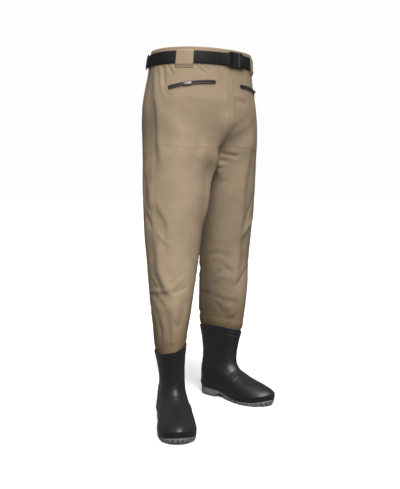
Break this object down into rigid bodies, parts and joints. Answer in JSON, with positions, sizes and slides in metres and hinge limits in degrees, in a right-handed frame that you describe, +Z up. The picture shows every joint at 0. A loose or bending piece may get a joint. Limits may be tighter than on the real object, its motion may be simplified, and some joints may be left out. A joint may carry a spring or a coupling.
{
  "type": "waist waders",
  "caption": "Waist-high waders worn in the water: cloth trousers with slanted zip pockets and a buckled webbing belt, welded into short moulded boots with lugged soles.",
  "frame": {"origin": "middle of the object's footprint, on the floor that the soles stand on", "axes": "+Z up, -Y the way that the wearer faces, +X to the wearer's left"},
  "size_m": [0.5475, 0.4724, 1.1236],
  "materials": {
    "cloth": "matt laminated cloth, khaki",
    "boot_pvc": "satin moulded PVC, black",
    "sole_rubber": "matt moulded compound, grey",
    "insole_foam": "felted foam, dark grey",
    "webbing": "ribbed woven webbing, black",
    "buckle_plastic": "satin moulded plastic, black",
    "zip_tape": "matt coated tape, black",
    "zip_metal": "satin die-cast metal, light grey"
  },
  "bodies": {
    "waders": {"seat": "cloth", "leg_right": "cloth", "leg_left": "cloth", "belt_loop_front_right": "cloth", "belt_loop_front_left": "cloth", "belt_loop_back": "cloth", "boot_right": "boot_pvc", "boot_left": "boot_pvc", "outsole_right": "sole_rubber", "outsole_left": "sole_rubber", "insole_right": "insole_foam", "insole_left": "insole_foam", "belt_strap": "webbing", "belt_slider": "buckle_plastic", "buckle_socket": "buckle_plastic", "buckle_prongs": "buckle_plastic", "pocket_zip_right": "zip_tape", "pocket_zip_left": "zip_tape", "zip_slider_right": "zip_metal", "zip_slider_left": "zip_metal"},
    "pull_right": {"zip_pull_right": "zip_metal"},
    "pull_left": {"zip_pull_left": "zip_metal"}
  },
  "joints": [
    {"name": "zip_pull_right_hinge", "type": "hinge", "parent": "waders", "child": "pull_right", "pos_m": [-0.06677, -0.0166, 1.0125], "axis": [0.0522, -0.1996, -0.9785], "range_deg": [0, 165]},
    {"name": "zip_pull_left_hinge", "type": "hinge", "parent": "waders", "child": "pull_left", "pos_m": [0.2196, -0.01692, 1.00755], "axis": [0.0475, 0.2048, 0.9777], "range_deg": [0, 165]}
  ]
}
